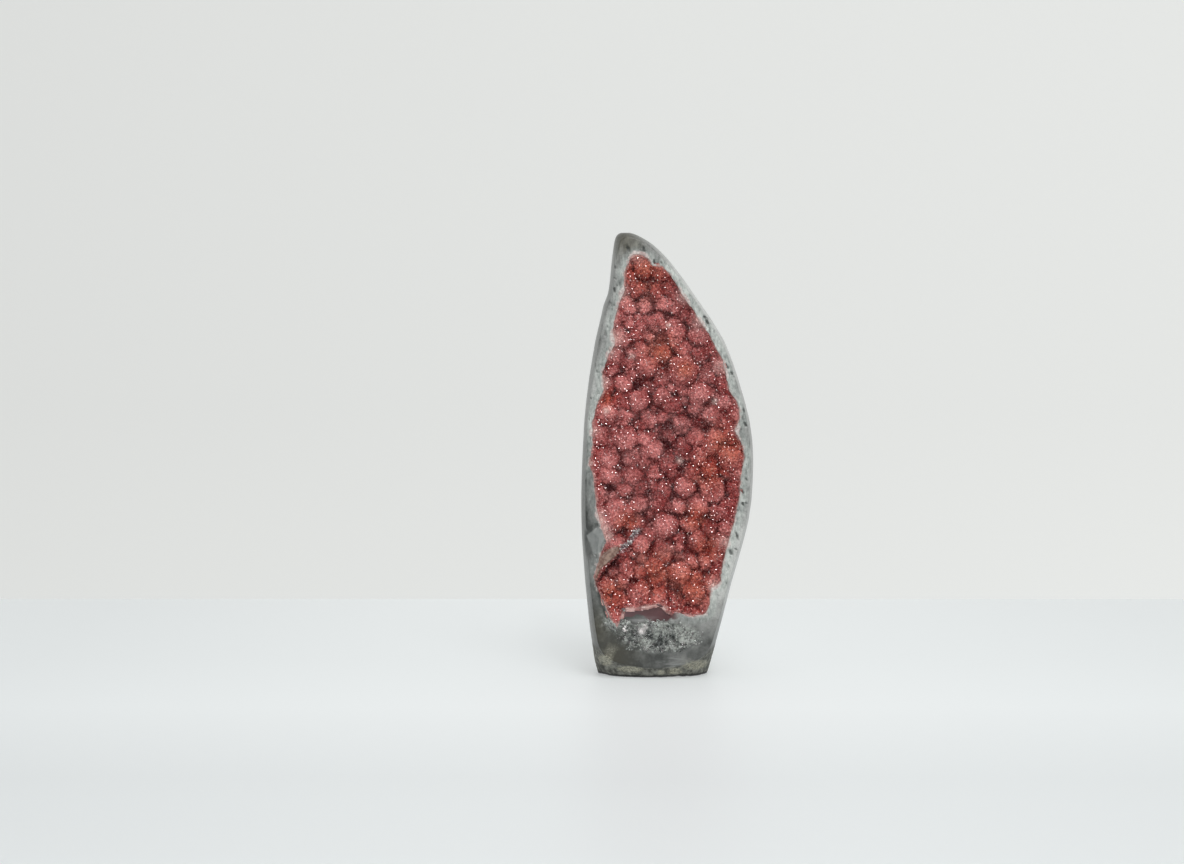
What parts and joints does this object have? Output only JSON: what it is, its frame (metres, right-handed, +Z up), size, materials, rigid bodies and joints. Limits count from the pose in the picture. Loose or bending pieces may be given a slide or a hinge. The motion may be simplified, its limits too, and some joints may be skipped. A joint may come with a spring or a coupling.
{
  "type": "mineral specimen",
  "caption": "Upright leaf-shaped half geode: a smooth grey host rock, sawn flat at the base and the face, framing a hollow lined with red crystal rosettes.",
  "frame": {"origin": "middle of the bounding box, at the level of the sawn base", "axes": "+Z up along the height, -Y the way that the crystals face, +X to the right as seen from in front of them"},
  "size_m": [0.0928, 0.0582, 0.2375],
  "materials": {
    "rock": "ground and polished",
    "crystal": "fine glassy crystals"
  },
  "bodies": {
    "root": {"host_rock": "rock", "crystal_crust": "crystal"}
  },
  "joints": []
}
